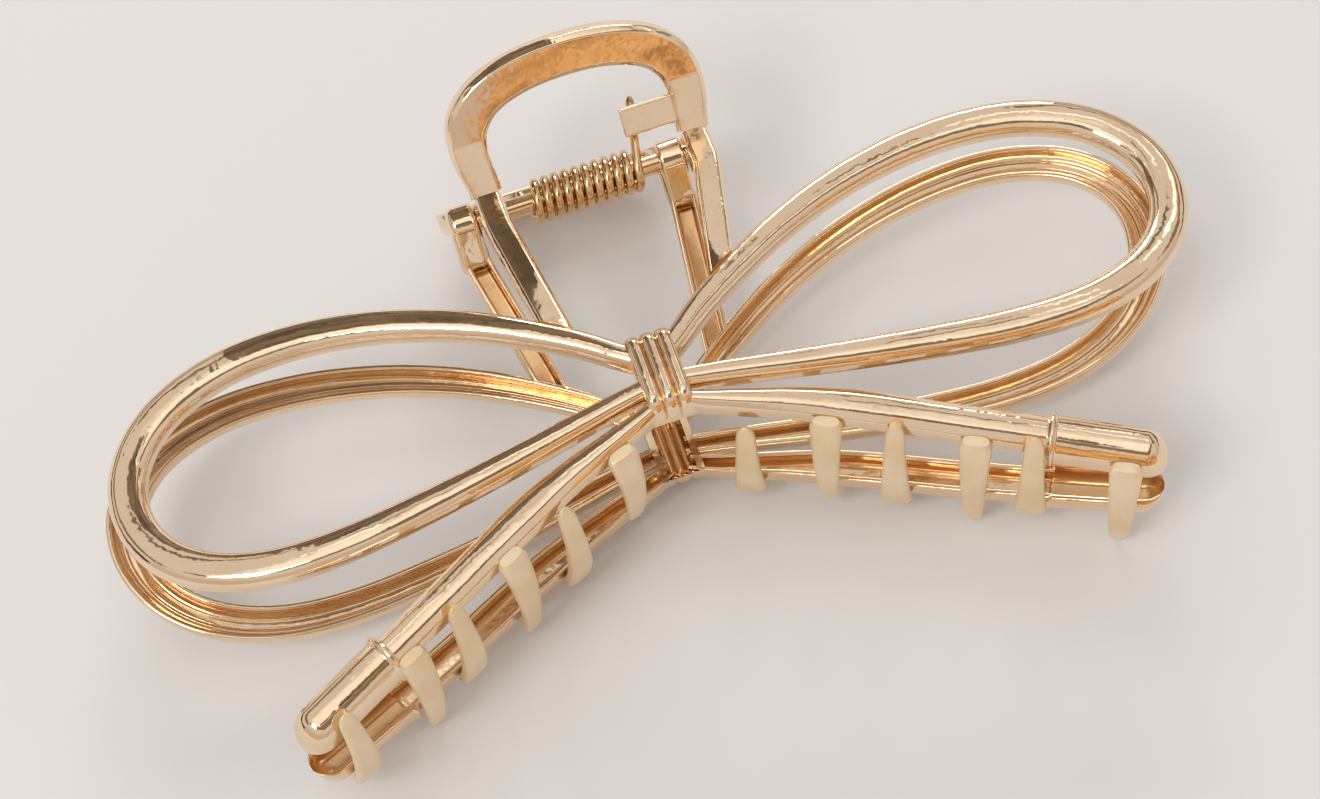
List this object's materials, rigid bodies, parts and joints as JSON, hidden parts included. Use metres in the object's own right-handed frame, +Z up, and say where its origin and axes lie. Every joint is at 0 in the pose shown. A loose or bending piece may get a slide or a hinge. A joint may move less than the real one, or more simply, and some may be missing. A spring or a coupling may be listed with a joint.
{
  "type": "bow claw clip",
  "caption": "Bow-shaped metal hair claw clip: two hollow-backed jaws with interlocking teeth, hinged on a pin with a torsion spring and squeezed open by arched handles.",
  "frame": {"origin": "middle of the underside of the whole clip's bounding box, on the surface it lies on", "axes": "+X along the bow, +Y from the teeth to the handles, +Z up through the front jaw's face"},
  "size_m": [0.1118, 0.0646, 0.0278],
  "materials": {
    "plated_gold": "polished light gold plating on a zinc casting",
    "satin_gold": "satin light gold plating, duller than the face of the bow",
    "spring_wire": "drawn steel wire with gold plating",
    "pin_gold": "turned pin with gold plating"
  },
  "bodies": {
    "rear_jaw": {"rear_knot": "plated_gold", "rear_bow_loop_left": "plated_gold", "rear_bow_loop_right": "plated_gold", "rear_tail_left": "plated_gold", "rear_tail_right": "plated_gold", "rear_tail_cap_left": "plated_gold", "rear_tail_cap_right": "plated_gold", "rear_arm_left": "plated_gold", "rear_arm_right": "plated_gold", "rear_tooth_1": "satin_gold", "rear_tooth_2": "satin_gold", "rear_tooth_3": "satin_gold", "rear_tooth_4": "satin_gold", "rear_tooth_5": "satin_gold", "rear_tooth_6": "satin_gold", "rear_handle": "plated_gold", "rear_spring_tab": "plated_gold", "hinge_pin": "pin_gold", "torsion_spring": "spring_wire"},
    "front_jaw": {"front_knot": "plated_gold", "front_bow_loop_left": "plated_gold", "front_bow_loop_right": "plated_gold", "front_tail_left": "plated_gold", "front_tail_right": "plated_gold", "front_tail_cap_left": "plated_gold", "front_tail_cap_right": "plated_gold", "front_arm_left": "plated_gold", "front_arm_right": "plated_gold", "front_tooth_1": "satin_gold", "front_tooth_2": "satin_gold", "front_tooth_3": "satin_gold", "front_tooth_4": "satin_gold", "front_tooth_5": "satin_gold", "front_tooth_6": "satin_gold", "front_handle": "plated_gold", "front_spring_tab": "plated_gold"}
  },
  "joints": [
    {"name": "jaw_hinge", "type": "hinge", "parent": "rear_jaw", "child": "front_jaw", "pos_m": [0, 0.02099, 0.01318], "axis": [-1, 0, 0], "range_deg": [0, 50], "stiffness_Nm_per_rad": 0.083, "springref_deg": -28.65, "deforming": ["torsion_spring"]}
  ]
}
